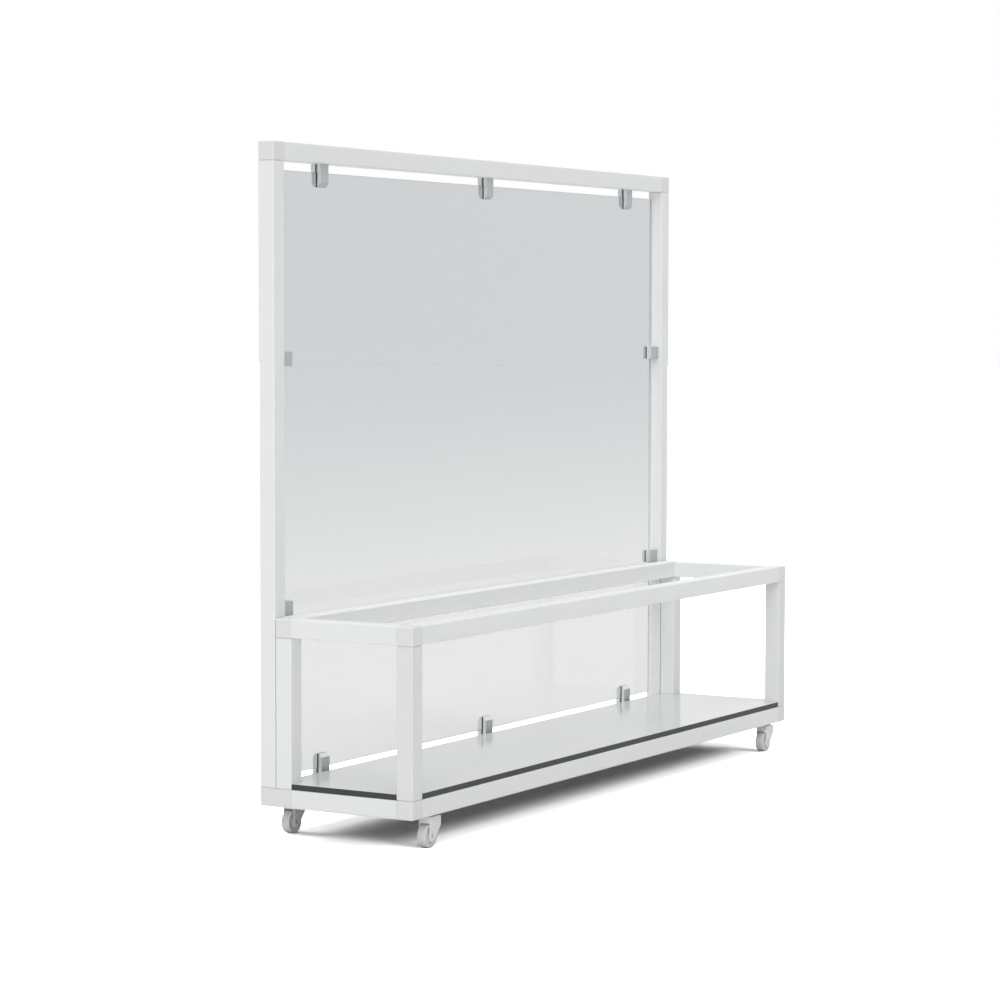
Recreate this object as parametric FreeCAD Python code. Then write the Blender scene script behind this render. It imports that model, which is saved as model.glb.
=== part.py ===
"""Room partition with a planter frame, on four swivel castors.

A tall frame of square tube holds a pane in ten clamps. It stands at the back of a low planter frame,
and both share one base frame. +X runs along the partition, +Y from the planter side to the pane side
and +Z up. The origin is on the floor, in the middle of the footprint. All sizes are in millimetres.
"""
import FreeCAD, Part
import math
import os

Vector = FreeCAD.Vector
X_AXIS = Vector(1, 0, 0)
Y_AXIS = Vector(0, 1, 0)
Z_AXIS = Vector(0, 0, 1)

# Overall sizes, all heights from the underside of the base frame
overall_length = 1810.0
planter_depth = 344.5
planter_height = 404.0
partition_height = 1415.0
post_gap = 1.5            # between a planter post and the partition post behind it
castor_height = 70.0      # floor to the underside of the base frame

# Square tube and its corner blocks
profile = 40.0
profile_wall = 2.0
profile_radius = 2.5
post_joint_gap = 1.5      # shadow line between a post and a block
rail_joint_gap = 0.3      # butt joint between a rail and a block
joint_line_depth = 1.8    # how far the joint lines run in before the tube meets the block's collar
spigot_length = 14.0
spigot_wall = 3.0
spigot_clearance = 0.1
spigot_lead = 1.5

# Shelf board with a dark core between two thin faces, and the angle that carries its back edge
shelf_thickness = 13.0
shelf_face_thickness = 0.3
shelf_inset = 0.5
shelf_notch_clearance = 0.5
angle_leg = 20.0
angle_wall = 2.0
angle_end_clearance = 3.0

# Pane
pane_thickness = 5.0
pane_gap = 19.0           # from the pane's edge to the frame round it
pane_edge_chamfer = 0.5

# Pane clamps
clamp_projection = 50.0
clamp_width = 32.0
front_jaw_thickness = 8.0
rear_jaw_thickness = 11.0
clamp_bevel_length = 8.5    # along the jaw, at its free end
clamp_bevel_depth = 6.5     # across the jaw's thickness
clamp_edge_radius = 0.8
clamp_bridge_height = 14.0
clamp_bridge_inset = 4.0
clamp_end_offset = 205.0  # end of the partition to the middle of its first clamp
clamp_upper_drop = 420.0  # underside of the top rail to the upper side clamps
clamp_lower_rise = 380.0  # top of the base to the lower side clamps

# Rubber gasket between the jaws of a clamp
gasket_wall = 0.5         # between a jaw and the pane
gasket_inset = 0.6        # from the jaw's sides, its free end and the frame's face
gasket_edge_gap = 0.5     # from the pane's edge to the rubber across the throat

# Screws
screw_clearance = 0.05
pinch_radius = 2.5
pinch_head_radius = 4.6
pinch_head_height = 2.8
pinch_bite = 6.0          # depth of the pinch screw's thread in the front jaw
fixing_radius = 1.6
fixing_head_radius = 2.8
fixing_head_height = 1.8
fixing_spacing = 14.0
fixing_bite = 4.0         # how far a fixing screw passes the tube's wall

# Castors: the swivel axes, the threaded insert in the rail and the ring under it
castor_left_inset = 105.0   # left end of the base to the left castors' swivel axes
castor_right_inset = 72.0   # right end of the base to the right castors' swivel axes
insert_radius = 7.0
insert_length = 16.0        # underside of the base to the insert's upper end
insert_flange = 1.0
insert_flange_radius = 9.5
insert_bulge = 4.0          # height of the upset collar that grips the tube's wall from inside
insert_bulge_radius = 8.5
ring_radius = 11.0
ring_height = 1.5
running_gap = 0.3           # between flat faces that turn past each other
shaft_clearance = 0.05      # running fit round the stem and the axle

# Castors: the stem that the fork turns on
stem_radius = 4.0
stem_head_radius = 6.5
stem_head_height = 2.4
stem_end_gap = 1.0

# Castors: the fork, a domed head between two legs
wheel_radius = 25.0
wheel_width = 21.0
castor_trail = 16.0
crown_gap = 2.5             # from the tyre to the fork's crown
head_radius = 14.5
head_rounding = 2.5
fork_wall = 2.5
fork_side_gap = 1.5
fork_side_drop = 1.0        # top of the head to the top of the legs
leg_back = 26.0             # swivel axis to the leg's trailing edge
leg_drop = 13.0             # axle to the leg's lower end
leg_crease = 3.0            # swivel axis to the crease between blade and gusset
crown_inset = 1.2           # how far the crown lies inside the legs' faces and their trailing edges
blade_foot_radius = 9.0
blade_top_radius = 2.0
blade_edge_radius = 0.7
gusset_step = 1.0           # how far the gusset lies behind the blade's face
gusset_nose = 17.5          # swivel axis to the gusset's leading edge
gusset_shoulder = 20.0      # height of the leading edge's lower end above the axle
gusset_foot = 3.3           # how far under the axle the sloping edge crosses the crease
gusset_radius = 3.0

# Castors: axle, wheel and tyre
axle_radius = 3.0
axle_head_radius = 4.2
axle_head_height = 0.9
axle_head_rounding = 0.4
dish_radius = 6.0           # countersunk dish in the leg that the axle's head sits in
dish_floor_radius = 4.6
dish_depth = 1.4
axle_nut_flats = 10.0
axle_nut_height = 4.0
hub_radius = 7.0
hub_gap = 0.5               # from the hub's end to the fork's leg
rim_radius = 19.0
rim_wall = 4.0
rim_set_back = 1.0          # from the tyre's side to the rim's side
wheel_web = 15.0
tyre_shoulder = 2.0

overrun = 2.0               # how far a cutting shape passes the face that it opens
parallel_share = 0.999      # an edge this nearly along an axis counts as parallel to it

# Places that follow from the sizes
x_right = overall_length / 2
x_left = -x_right
overall_depth = planter_depth + post_gap + profile
y_back = overall_depth / 2
y_front = -y_back
base_bottom = castor_height
base_top = base_bottom + profile
planter_top = base_bottom + planter_height
partition_top = base_bottom + partition_height
y_partition = y_back - profile
y_pane = y_back - profile / 2
y_planter_back = y_front + planter_depth
y_planter_post = y_planter_back - profile
shelf_top = base_top + shelf_thickness
throat = pane_thickness + 2 * gasket_wall
SIDES = ("left", "right")
X_SIGN = {"left": -1, "right": 1}


def box(x0, x1, y0, y1, z0, z1):
    """A block between two corners, given as the low and high value along each axis."""
    return Part.makeBox(x1 - x0, y1 - y0, z1 - z0, Vector(x0, y0, z0))


def cylinder(radius, base, length, axis):
    """A round bar that starts at base and runs along axis."""
    return Part.makeCylinder(radius, length, base, axis)


def cone(radius, tip_radius, base, length, axis):
    """A round bar that tapers from radius at base to tip_radius."""
    return Part.makeCone(radius, tip_radius, length, base, axis)


def prism(points, travel):
    """A closed outline carried straight along travel."""
    return Part.Face(Part.makePolygon(points + points[:1])).extrude(travel)


def edges_along(shape, axis):
    """The straight edges of a block that run along one axis."""
    found = []
    for edge in shape.Edges:
        direction = edge.Vertexes[-1].Point - edge.Vertexes[0].Point
        if abs(direction.dot(axis)) > direction.Length * parallel_share:
            found.append(edge)
    return found


def span(side, near, far):
    """The low and high x of a stretch that lies near..far millimetres in from one end of the base."""
    end = X_SIGN[side] * x_right
    xs = (end - X_SIGN[side] * near, end - X_SIGN[side] * far)
    return min(xs), max(xs)


def square_tube(x0, x1, y0, y1, z0, z1, axis):
    """A square tube between two corners, open at both ends along axis."""
    solid = box(x0, x1, y0, y1, z0, z1)
    outer = solid.makeFillet(profile_radius, edges_along(solid, axis))
    margin = [overrun if component else -profile_wall for component in axis]
    bore = box(x0 - margin[0], x1 + margin[0], y0 - margin[1], y1 + margin[1],
               z0 - margin[2], z1 + margin[2])
    return outer.cut(bore)


def spigot(centre, direction):
    """A square plug with a hollow end, on a low collar that the tube's end rests on.

    It starts on a block's face at centre and runs along direction. Posts get the wider joint line.
    """
    gap = rail_joint_gap if direction.z == 0 else post_joint_gap
    half = profile / 2 - profile_wall - spigot_clearance
    inner = half - spigot_wall
    collar = profile / 2 - joint_line_depth
    plug = box(-half, half, -half, half, -profile_wall, spigot_length)
    tip_edges = [edge for edge in plug.Edges if edge.CenterOfMass.z > spigot_length - spigot_lead]
    plug = plug.makeChamfer(spigot_lead, tip_edges)
    plug = plug.cut(box(-inner, inner, -inner, inner, profile_wall, spigot_length + overrun))
    plug = plug.fuse(box(-collar, collar, -collar, collar, -profile_wall, gap))
    plug.Placement = FreeCAD.Placement(centre, FreeCAD.Rotation(Z_AXIS, direction))
    return plug


def corner_block(bounds, arms):
    """A block with a spigot on each joint face, rounded along the edges where two free faces meet.

    arms lists the spigots as pairs of a place on the block's face and an outward direction.
    """
    x0, x1, y0, y1, z0, z1 = bounds
    core = box(*bounds)
    middle = Vector((x0 + x1) / 2, (y0 + y1) / 2, (z0 + z1) / 2)
    half = Vector((x1 - x0) / 2, (y1 - y0) / 2, (z1 - z0) / 2)
    rounded = []
    for edge in core.Edges:
        offset = edge.CenterOfMass - middle
        joint = False
        for place, direction in arms:
            reach = abs(direction.x) * half.x + abs(direction.y) * half.y + abs(direction.z) * half.z
            joint = joint or offset.dot(direction) > reach / 2
        if not joint:
            rounded.append(edge)
    core = core.makeFillet(profile_radius, rounded)
    return core.fuse([spigot(place, direction) for place, direction in arms]).removeSplitter()


def inward(side):
    """The direction from one end of the partition towards its middle."""
    return Vector(-X_SIGN[side], 0, 0)


def block_face_x(side):
    """The x of a corner block's inner face."""
    return X_SIGN[side] * (x_right - profile)


def base_corner_front(side):
    """Single base block: it joins the front rail, a side rail and a planter post."""
    x0, x1 = span(side, 0, profile)
    y_mid = y_front + profile / 2
    x_mid = (x0 + x1) / 2
    z_mid = base_bottom + profile / 2
    arms = [
        (Vector(block_face_x(side), y_mid, z_mid), inward(side)),
        (Vector(x_mid, y_front + profile, z_mid), Y_AXIS),
        (Vector(x_mid, y_mid, base_top), Z_AXIS),
    ]
    return corner_block((x0, x1, y_front, y_front + profile, base_bottom, base_top), arms)


def base_corner_rear(side):
    """Double base block: it carries a planter post and the partition post behind it."""
    x0, x1 = span(side, 0, profile)
    x_mid = (x0 + x1) / 2
    z_mid = base_bottom + profile / 2
    arms = [
        (Vector(block_face_x(side), y_pane, z_mid), inward(side)),
        (Vector(x_mid, y_planter_post, z_mid), -Y_AXIS),
        (Vector(x_mid, y_planter_post + profile / 2, base_top), Z_AXIS),
        (Vector(x_mid, y_pane, base_top), Z_AXIS),
    ]
    return corner_block((x0, x1, y_planter_post, y_back, base_bottom, base_top), arms)


def planter_corner(side, y0, rail_direction):
    """Top block of the planter frame. rail_direction points along the side rail that leaves it."""
    x0, x1 = span(side, 0, profile)
    x_mid = (x0 + x1) / 2
    y_mid = y0 + profile / 2
    z_mid = planter_top - profile / 2
    arms = [
        (Vector(block_face_x(side), y_mid, z_mid), inward(side)),
        (Vector(x_mid, y_mid, z_mid) + rail_direction * (profile / 2), rail_direction),
        (Vector(x_mid, y_mid, planter_top - profile), -Z_AXIS),
    ]
    return corner_block((x0, x1, y0, y0 + profile, planter_top - profile, planter_top), arms)


def partition_corner(side):
    """Top block of the partition frame: it joins a tall post and the top rail."""
    x0, x1 = span(side, 0, profile)
    z0 = partition_top - profile
    arms = [
        (Vector(block_face_x(side), y_pane, z0 + profile / 2), inward(side)),
        (Vector((x0 + x1) / 2, y_pane, z0), -Z_AXIS),
    ]
    return corner_block((x0, x1, y_partition, y_back, z0, partition_top), arms)


def long_rail(y0, z0):
    """A rail along the whole partition, between two corner blocks."""
    reach = x_right - profile - rail_joint_gap
    return square_tube(-reach, reach, y0, y0 + profile, z0, z0 + profile, X_AXIS)


def side_rail(side, z0):
    """A short rail from a front corner block to a rear one."""
    x0, x1 = span(side, 0, profile)
    y0 = y_front + profile + rail_joint_gap
    y1 = y_planter_post - rail_joint_gap
    return square_tube(x0, x1, y0, y1, z0, z0 + profile, Y_AXIS)


def post(side, y0, top):
    """An upright tube from the base to the underside of the block below top."""
    x0, x1 = span(side, 0, profile)
    z0 = base_top + post_joint_gap
    z1 = top - profile - post_joint_gap
    return square_tube(x0, x1, y0, y0 + profile, z0, z1, Z_AXIS)


def build_frames():
    """All blocks, rails and posts of the base, the planter and the partition."""
    parts = {}
    for side in SIDES:
        parts["base_corner_front_" + side] = base_corner_front(side)
        parts["base_corner_rear_" + side] = base_corner_rear(side)
        parts["base_rail_" + side] = side_rail(side, base_bottom)
        parts["planter_post_front_" + side] = post(side, y_front, planter_top)
        parts["planter_post_rear_" + side] = post(side, y_planter_post, planter_top)
        parts["planter_corner_front_" + side] = planter_corner(side, y_front, Y_AXIS)
        parts["planter_corner_rear_" + side] = planter_corner(side, y_planter_post, -Y_AXIS)
        parts["planter_rail_" + side] = side_rail(side, planter_top - profile)
        parts["partition_post_" + side] = post(side, y_partition, partition_top)
        parts["partition_corner_" + side] = partition_corner(side)
    parts["base_rail_front"] = long_rail(y_front, base_bottom)
    parts["base_rail_rear"] = long_rail(y_partition, base_bottom)
    parts["planter_rail_front"] = long_rail(y_front, planter_top - profile)
    parts["planter_rail_rear"] = long_rail(y_planter_post, planter_top - profile)
    parts["partition_rail_top"] = long_rail(y_partition, partition_top - profile)
    return parts


def shelf_layer(z0, z1):
    """One layer of the shelf board, notched at its corners round the four planter posts."""
    reach = x_right - shelf_inset
    notch = x_right - profile - shelf_notch_clearance
    y0 = y_front + shelf_inset
    y1 = y_partition - shelf_notch_clearance
    front_notch = y_front + profile + shelf_notch_clearance
    rear_notch = y_planter_post - shelf_notch_clearance
    outline = [
        (-notch, y0), (notch, y0), (notch, front_notch), (reach, front_notch),
        (reach, rear_notch), (notch, rear_notch), (notch, y1), (-notch, y1),
        (-notch, rear_notch), (-reach, rear_notch), (-reach, front_notch), (-notch, front_notch),
    ]
    return prism([Vector(x, y, z0) for x, y in outline], Vector(0, 0, z1 - z0))


def shelf_rear_angle():
    """The angle on the front of the rear base rail that carries the back edge of the shelf."""
    reach = x_right - profile - angle_end_clearance
    upright = box(-reach, reach, y_partition - angle_wall, y_partition, base_top - angle_leg, base_top)
    ledge = box(-reach, reach, y_partition - angle_leg, y_partition, base_top - angle_wall, base_top)
    return upright.fuse(ledge).removeSplitter()


def build_shelf():
    """The shelf's core, its two faces and the angle under its back edge."""
    core_bottom = base_top + shelf_face_thickness
    core_top = shelf_top - shelf_face_thickness
    faces = [shelf_layer(base_top, core_bottom), shelf_layer(core_top, shelf_top)]
    return {
        "shelf_core": shelf_layer(core_bottom, core_top),
        "shelf_faces": Part.makeCompound(faces),
        "shelf_rear_angle": shelf_rear_angle(),
    }


def pane():
    """The pane, with its edges broken all round."""
    reach = x_right - profile - pane_gap
    z0 = base_top + pane_gap
    z1 = partition_top - profile - pane_gap
    solid = box(-reach, reach, y_pane - pane_thickness / 2, y_pane + pane_thickness / 2, z0, z1)
    rim = [edge for edge in solid.Edges if edge.Length > 2 * pane_thickness]
    return solid.makeChamfer(pane_edge_chamfer, rim)


def jaw_plate(sign, thickness):
    """One jaw with a bevel at its free end. sign is the side of the pane it is on.

    It stands on the plane z = 0, with its free end up and the pane's middle plane at y = 0.
    """
    half = clamp_width / 2
    inner = sign * throat / 2
    outer = inner + sign * thickness
    outline = [
        Vector(-half, inner, 0), Vector(-half, outer, 0),
        Vector(-half, outer, clamp_projection - clamp_bevel_length),
        Vector(-half, outer - sign * clamp_bevel_depth, clamp_projection),
        Vector(-half, inner, clamp_projection),
    ]
    bar = prism(outline, Vector(clamp_width, 0, 0))
    return bar.makeFillet(clamp_edge_radius, jaw_outer_edges(bar, inner))


def jaw_outer_edges(jaw, inner):
    """The edges of a jaw that a hand can touch: all but those of its inner face and of its foot."""
    found = []
    for edge in jaw.Edges:
        reach = max(abs(corner.Y - inner) for corner in edge.Vertexes)
        if reach > clamp_edge_radius and edge.CenterOfMass.z > clamp_edge_radius:
            found.append(edge)
    return found


def clamp_rear_body():
    """Rear jaw with the bridge that crosses the throat beside the pane's edge, and its screw holes."""
    half_bridge = clamp_width / 2 - clamp_bridge_inset
    bridge = box(-half_bridge, half_bridge, -throat / 2, throat / 2, 0, clamp_bridge_height)
    body = jaw_plate(1, rear_jaw_thickness).fuse(bridge).removeSplitter()
    z_pinch = clamp_bridge_height / 2
    back = throat / 2 + rear_jaw_thickness
    start = Vector(0, -throat / 2 - overrun, z_pinch)
    body = body.cut(cylinder(pinch_radius + screw_clearance, start, back + throat + overrun, Y_AXIS))
    seat = Vector(0, back - pinch_head_height, z_pinch)
    head = pinch_head_radius + screw_clearance
    body = body.cut(cylinder(head, seat, pinch_head_height + overrun, Y_AXIS))
    for x in (-fixing_spacing / 2, fixing_spacing / 2):
        hole = fixing_radius + screw_clearance
        head = fixing_head_radius + screw_clearance
        top = Vector(x, 0, clamp_bridge_height - fixing_head_height)
        body = body.cut(cylinder(hole, Vector(x, 0, -overrun), clamp_bridge_height + overrun, Z_AXIS))
        body = body.cut(cylinder(head, top, fixing_head_height + overrun, Z_AXIS))
    return body


def clamp_front_jaw():
    """Front jaw, plain outside, with a blind thread for the pinch screw."""
    hole = pinch_radius + screw_clearance
    start = Vector(0, -throat / 2 - pinch_bite - screw_clearance, clamp_bridge_height / 2)
    jaw = jaw_plate(-1, front_jaw_thickness)
    return jaw.cut(cylinder(hole, start, pinch_bite + overrun, Y_AXIS))


def clamp_gasket():
    """Rubber that fills the throat: a wall on each face of the pane, and the space round the bridge."""
    half = clamp_width / 2 - gasket_inset
    half_bridge = clamp_width / 2 - clamp_bridge_inset
    rubber = box(-half, half, -throat / 2, throat / 2, gasket_inset, clamp_projection - gasket_inset)
    pane_slot = box(-clamp_width, clamp_width, -pane_thickness / 2, pane_thickness / 2,
                    pane_gap - gasket_edge_gap, clamp_projection + overrun)
    bridge = box(-half_bridge, half_bridge, -throat, throat, -overrun, clamp_bridge_height)
    return rubber.cut(pane_slot).cut(bridge)


def clamp_screws():
    """The pinch screw from behind and the two fixing screws into the frame."""
    z_pinch = clamp_bridge_height / 2
    back = throat / 2 + rear_jaw_thickness
    tip = -throat / 2 - pinch_bite
    shank = cylinder(pinch_radius, Vector(0, tip, z_pinch), back - tip, Y_AXIS)
    seat = Vector(0, back - pinch_head_height, z_pinch)
    head = cylinder(pinch_head_radius, seat, pinch_head_height, Y_AXIS)
    socket_floor = Vector(0, back - pinch_head_height / 2, z_pinch)
    socket = cylinder(pinch_radius, socket_floor, pinch_head_height, Y_AXIS)
    screws = [shank.fuse(head).cut(socket).removeSplitter()]
    for x in (-fixing_spacing / 2, fixing_spacing / 2):
        tip = -profile_wall - fixing_bite
        shank = cylinder(fixing_radius, Vector(x, 0, tip), clamp_bridge_height - tip, Z_AXIS)
        top = Vector(x, 0, clamp_bridge_height - fixing_head_height)
        head = cylinder(fixing_head_radius, top, fixing_head_height, Z_AXIS)
        screws.append(shank.fuse(head).removeSplitter())
    return screws


def clamp_places():
    """Where each clamp stands: its name, the point on the frame's face and its turn about Y."""
    first = x_right - clamp_end_offset
    columns = {"left": -first, "middle": 0.0, "right": first}
    rail_face = partition_top - profile
    places = {}
    for name, x in columns.items():
        places["clamp_top_" + name] = (Vector(x, y_pane, rail_face), 180)
        places["clamp_bottom_" + name] = (Vector(x, y_pane, base_top), 0)
    heights = {"upper": rail_face - clamp_upper_drop, "lower": base_top + clamp_lower_rise}
    for side in SIDES:
        for name, z in heights.items():
            point = Vector(block_face_x(side), y_pane, z)
            places["clamp_" + side + "_" + name] = (point, -90 * X_SIGN[side])
    return places


def seated(shape, place):
    """A clamp piece moved from its own axes to its place on the frame."""
    point, degrees = place
    moved = shape.copy()
    moved.Placement = FreeCAD.Placement(point, FreeCAD.Rotation(Y_AXIS, degrees))
    return moved


def build_clamps():
    """Ten clamps, with all their gaskets and all their screws in one group each."""
    parts = {}
    gaskets = []
    screws = []
    for name, place in clamp_places().items():
        jaws = [clamp_rear_body(), clamp_front_jaw()]
        parts[name] = Part.makeCompound([seated(jaw, place) for jaw in jaws])
        gaskets.append(seated(clamp_gasket(), place))
        screws += [seated(screw, place) for screw in clamp_screws()]
    parts["clamp_gaskets"] = Part.makeCompound(gaskets)
    parts["clamp_screws"] = Part.makeCompound(screws)
    return parts


def drill_clamp_holes(parts):
    """The holes that the clamps' fixing screws need in the rails and posts."""
    carriers = {"clamp_top": "partition_rail_top", "clamp_bottom": "base_rail_rear"}
    for side in SIDES:
        carriers["clamp_" + side] = "partition_post_" + side
    for name, place in clamp_places().items():
        carrier = carriers[name.rsplit("_", 1)[0]]
        for x in (-fixing_spacing / 2, fixing_spacing / 2):
            start = Vector(x, 0, -profile / 2)
            hole = cylinder(fixing_radius + screw_clearance, start, profile, Z_AXIS)
            parts[carrier] = parts[carrier].cut(seated(hole, place))


def castor_places():
    """Swivel axis of each castor at the underside of the base."""
    insets = {"left": castor_left_inset, "right": castor_right_inset}
    rows = {"front": y_front + profile / 2, "rear": y_pane}
    places = {}
    for row, y in rows.items():
        for side in SIDES:
            places[row + "_" + side] = Vector(X_SIGN[side] * (x_right - insets[side]), y, base_bottom)
    return places


def castor_insert():
    """Threaded insert in the rail's lower wall. z = 0 is the underside of the base.

    x = y = 0 is the swivel axis. A flange lies under the wall and an upset collar grips it from inside.
    """
    bottom = Vector(0, 0, -insert_flange)
    body = cylinder(insert_radius, bottom, insert_flange + insert_length, Z_AXIS)
    flange = cylinder(insert_flange_radius, bottom, insert_flange, Z_AXIS)
    bulge = cylinder(insert_bulge_radius, Vector(0, 0, profile_wall), insert_bulge, Z_AXIS)
    insert = body.fuse([flange, bulge]).removeSplitter()
    start = bottom - Vector(0, 0, overrun)
    bore = insert_flange + insert_length + 2 * overrun
    return insert.cut(cylinder(stem_radius + screw_clearance, start, bore, Z_AXIS))


def castor_ring():
    """Hard ring round the stem, between the insert's flange and the fork's head."""
    bottom = Vector(0, 0, -insert_flange - ring_height)
    start = bottom - Vector(0, 0, overrun)
    ring = cylinder(ring_radius, bottom, ring_height, Z_AXIS)
    return ring.cut(cylinder(stem_radius + screw_clearance, start, ring_height + 2 * overrun, Z_AXIS))


def head_top():
    """Height of the fork's top below the base, as a negative z."""
    return -insert_flange - ring_height - running_gap


def crown_bottom():
    """Height of the crown's underside below the base, as a negative z."""
    return 2 * wheel_radius + crown_gap - castor_height


def axle_height():
    """Height of the axle below the base, as a negative z."""
    return wheel_radius - castor_height


def castor_stem():
    """The threaded pin that the fork turns on. Its head sits in a recess under the fork's head."""
    bottom = Vector(0, 0, crown_bottom())
    shank = cylinder(stem_radius, bottom, insert_length - stem_end_gap - crown_bottom(), Z_AXIS)
    head = cylinder(stem_head_radius, bottom, stem_head_height, Z_AXIS)
    return shank.fuse(head).removeSplitter()


def slot_half():
    """Half the width of the space between the fork's legs."""
    return wheel_width / 2 + fork_side_gap


def fork_plate(outline, outer, thickness):
    """Plate of one leg from its outline of x and z, set out from its outer face at y = outer."""
    return prism([Vector(x, outer, z) for x, z in outline], Vector(0, thickness, 0))


def leg_top():
    """Height of the legs' upper ends below the base, as a negative z."""
    return head_top() - fork_side_drop


def fork_blade():
    """The back part of the leg in front, with rounded corners and a softened outer edge."""
    outer = -slot_half() - fork_wall
    foot_z = axle_height() - leg_drop
    slope = (gusset_nose + leg_crease) / (gusset_shoulder + gusset_foot)
    toe = -leg_crease - slope * (leg_drop - gusset_foot)
    outline = [
        (-leg_back, foot_z), (toe, foot_z), (-leg_crease, axle_height() - gusset_foot),
        (-leg_crease, leg_top()), (-leg_back, leg_top()),
    ]
    blade = fork_plate(outline, outer, fork_wall)
    foot = [edge for edge in edges_along(blade, Y_AXIS) if edge.CenterOfMass.z < foot_z + running_gap]
    blade = blade.makeFillet(blade_foot_radius, foot)
    top = [edge for edge in edges_along(blade, Y_AXIS) if edge.CenterOfMass.z > leg_top() - running_gap]
    blade = blade.makeFillet(blade_top_radius, top)
    rim = [edge for edge in blade.Edges if edge.BoundBox.YMax < outer + blade_edge_radius]
    return blade.makeFillet(blade_edge_radius, rim)


def fork_gusset():
    """The thinner plate ahead of the blade, with a sloping leading edge up to the nose."""
    outer = -slot_half() - fork_wall + gusset_step
    foot_z = axle_height() - gusset_foot
    outline = [
        (-castor_trail, foot_z), (-leg_crease, foot_z), (gusset_nose, axle_height() + gusset_shoulder),
        (gusset_nose, leg_top()), (-castor_trail, leg_top()),
    ]
    plate = fork_plate(outline, outer, fork_wall - gusset_step)
    behind = gusset_nose - gusset_radius
    nose = [edge for edge in edges_along(plate, Y_AXIS) if edge.CenterOfMass.x > behind]
    return plate.makeFillet(gusset_radius, nose)


def fork_crown():
    """The roof over the tyre that joins the legs behind the swivel axis."""
    half = slot_half() + fork_wall - crown_inset
    return box(crown_inset - leg_back, 0, -half, half, crown_bottom(), leg_top())


def fork_head():
    """The round head at the swivel axis, as deep as the crown."""
    height = head_top() - crown_bottom()
    head = cylinder(head_radius, Vector(0, 0, crown_bottom()), height, Z_AXIS)
    top = [edge for edge in head.Edges if edge.Closed and edge.CenterOfMass.z > head_top() - running_gap]
    return head.makeFillet(head_rounding, top)


def castor_fork():
    """Fork: head and crown with a blade and a gusset on each side, less the room for stem and axle."""
    leg = fork_blade().fuse(fork_gusset())
    body = fork_head().fuse([fork_crown(), leg, leg.mirror(Vector(), Y_AXIS)]).removeSplitter()
    axle = Vector(-castor_trail, 0, axle_height())
    floor = Vector(0, 0, -castor_height)
    outer = slot_half() + fork_wall
    recess = castor_height + crown_bottom() + stem_head_height + running_gap
    room = [
        cylinder(stem_radius + shaft_clearance, floor, castor_height, Z_AXIS),
        cylinder(stem_head_radius + running_gap, floor, recess, Z_AXIS),
        cylinder(axle_radius + screw_clearance, axle - Y_AXIS * outer, 2 * outer, Y_AXIS),
        cone(dish_floor_radius, dish_radius, axle - Y_AXIS * (outer - dish_depth), dish_depth, -Y_AXIS),
    ]
    return body.cut(room)


def castor_axle():
    """Axle bolt through both legs, with a low head in the dish in front and a nut behind."""
    outer = slot_half() + fork_wall
    seat = dish_depth - outer
    shank = cylinder(axle_radius, Vector(0, seat, 0), outer + axle_nut_height - seat, Y_AXIS)
    head = cylinder(axle_head_radius, Vector(0, seat - axle_head_height, 0), axle_head_height, Y_AXIS)
    rims = [edge for edge in head.Edges if edge.Closed]
    face = [edge for edge in rims if edge.CenterOfMass.y < seat - axle_head_rounding]
    head = head.makeFillet(axle_head_rounding, face)
    corner = axle_nut_flats / 2 / math.cos(math.pi / 6)
    angles = [math.pi / 3 * turn for turn in range(6)]
    hexagon = [Vector(corner * math.cos(angle), outer, corner * math.sin(angle)) for angle in angles]
    nut = prism(hexagon, Vector(0, axle_nut_height, 0))
    bolt = shank.fuse([head, nut]).removeSplitter()
    bolt.translate(Vector(-castor_trail, 0, axle_height()))
    return bolt


def castor_wheel():
    """Wheel centre: a hub on the axle, a web and a rim under the tyre."""
    hub_half = slot_half() - hub_gap
    rim_half = wheel_width / 2 - rim_set_back
    hub = cylinder(hub_radius, Vector(0, -hub_half, 0), 2 * hub_half, Y_AXIS)
    web = cylinder(rim_radius, Vector(0, -wheel_web / 2, 0), wheel_web, Y_AXIS)
    rim = cylinder(rim_radius, Vector(0, -rim_half, 0), 2 * rim_half, Y_AXIS)
    rim = rim.cut(cylinder(rim_radius - rim_wall, Vector(0, -wheel_width, 0), 2 * wheel_width, Y_AXIS))
    wheel = hub.fuse([web, rim]).removeSplitter()
    bore = axle_radius + shaft_clearance
    wheel = wheel.cut(cylinder(bore, Vector(0, -wheel_width, 0), 2 * wheel_width, Y_AXIS))
    wheel.translate(Vector(-castor_trail, 0, axle_height()))
    return wheel


def castor_tyre():
    """Tyre: a ring round the rim with rounded shoulders."""
    half = wheel_width / 2
    ring = cylinder(wheel_radius, Vector(0, -half, 0), wheel_width, Y_AXIS)
    shoulders = [edge for edge in ring.Edges if edge.Closed]
    ring = ring.makeFillet(tyre_shoulder, shoulders)
    ring = ring.cut(cylinder(rim_radius, Vector(0, -wheel_width, 0), 2 * wheel_width, Y_AXIS))
    ring.translate(Vector(-castor_trail, 0, axle_height()))
    return ring


def moved_to(shape, place):
    """A castor piece moved from its own axes to its place under the base."""
    moved = shape.copy()
    moved.translate(place)
    return moved


def build_castors():
    """Four castors: shared groups for what is fixed to the base, single nodes for what moves."""
    parts = {}
    places = castor_places()
    fixed = {"inserts": castor_insert(), "rings": castor_ring(), "stems": castor_stem()}
    for name, piece in fixed.items():
        copies = [moved_to(piece, place) for place in places.values()]
        parts["castor_" + name] = Part.makeCompound(copies)
    moving = {
        "fork": castor_fork(), "axle": castor_axle(), "wheel": castor_wheel(), "tyre": castor_tyre(),
    }
    for name, piece in moving.items():
        for castor, place in places.items():
            parts["castor_" + name + "_" + castor] = moved_to(piece, place)
    return parts


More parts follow.
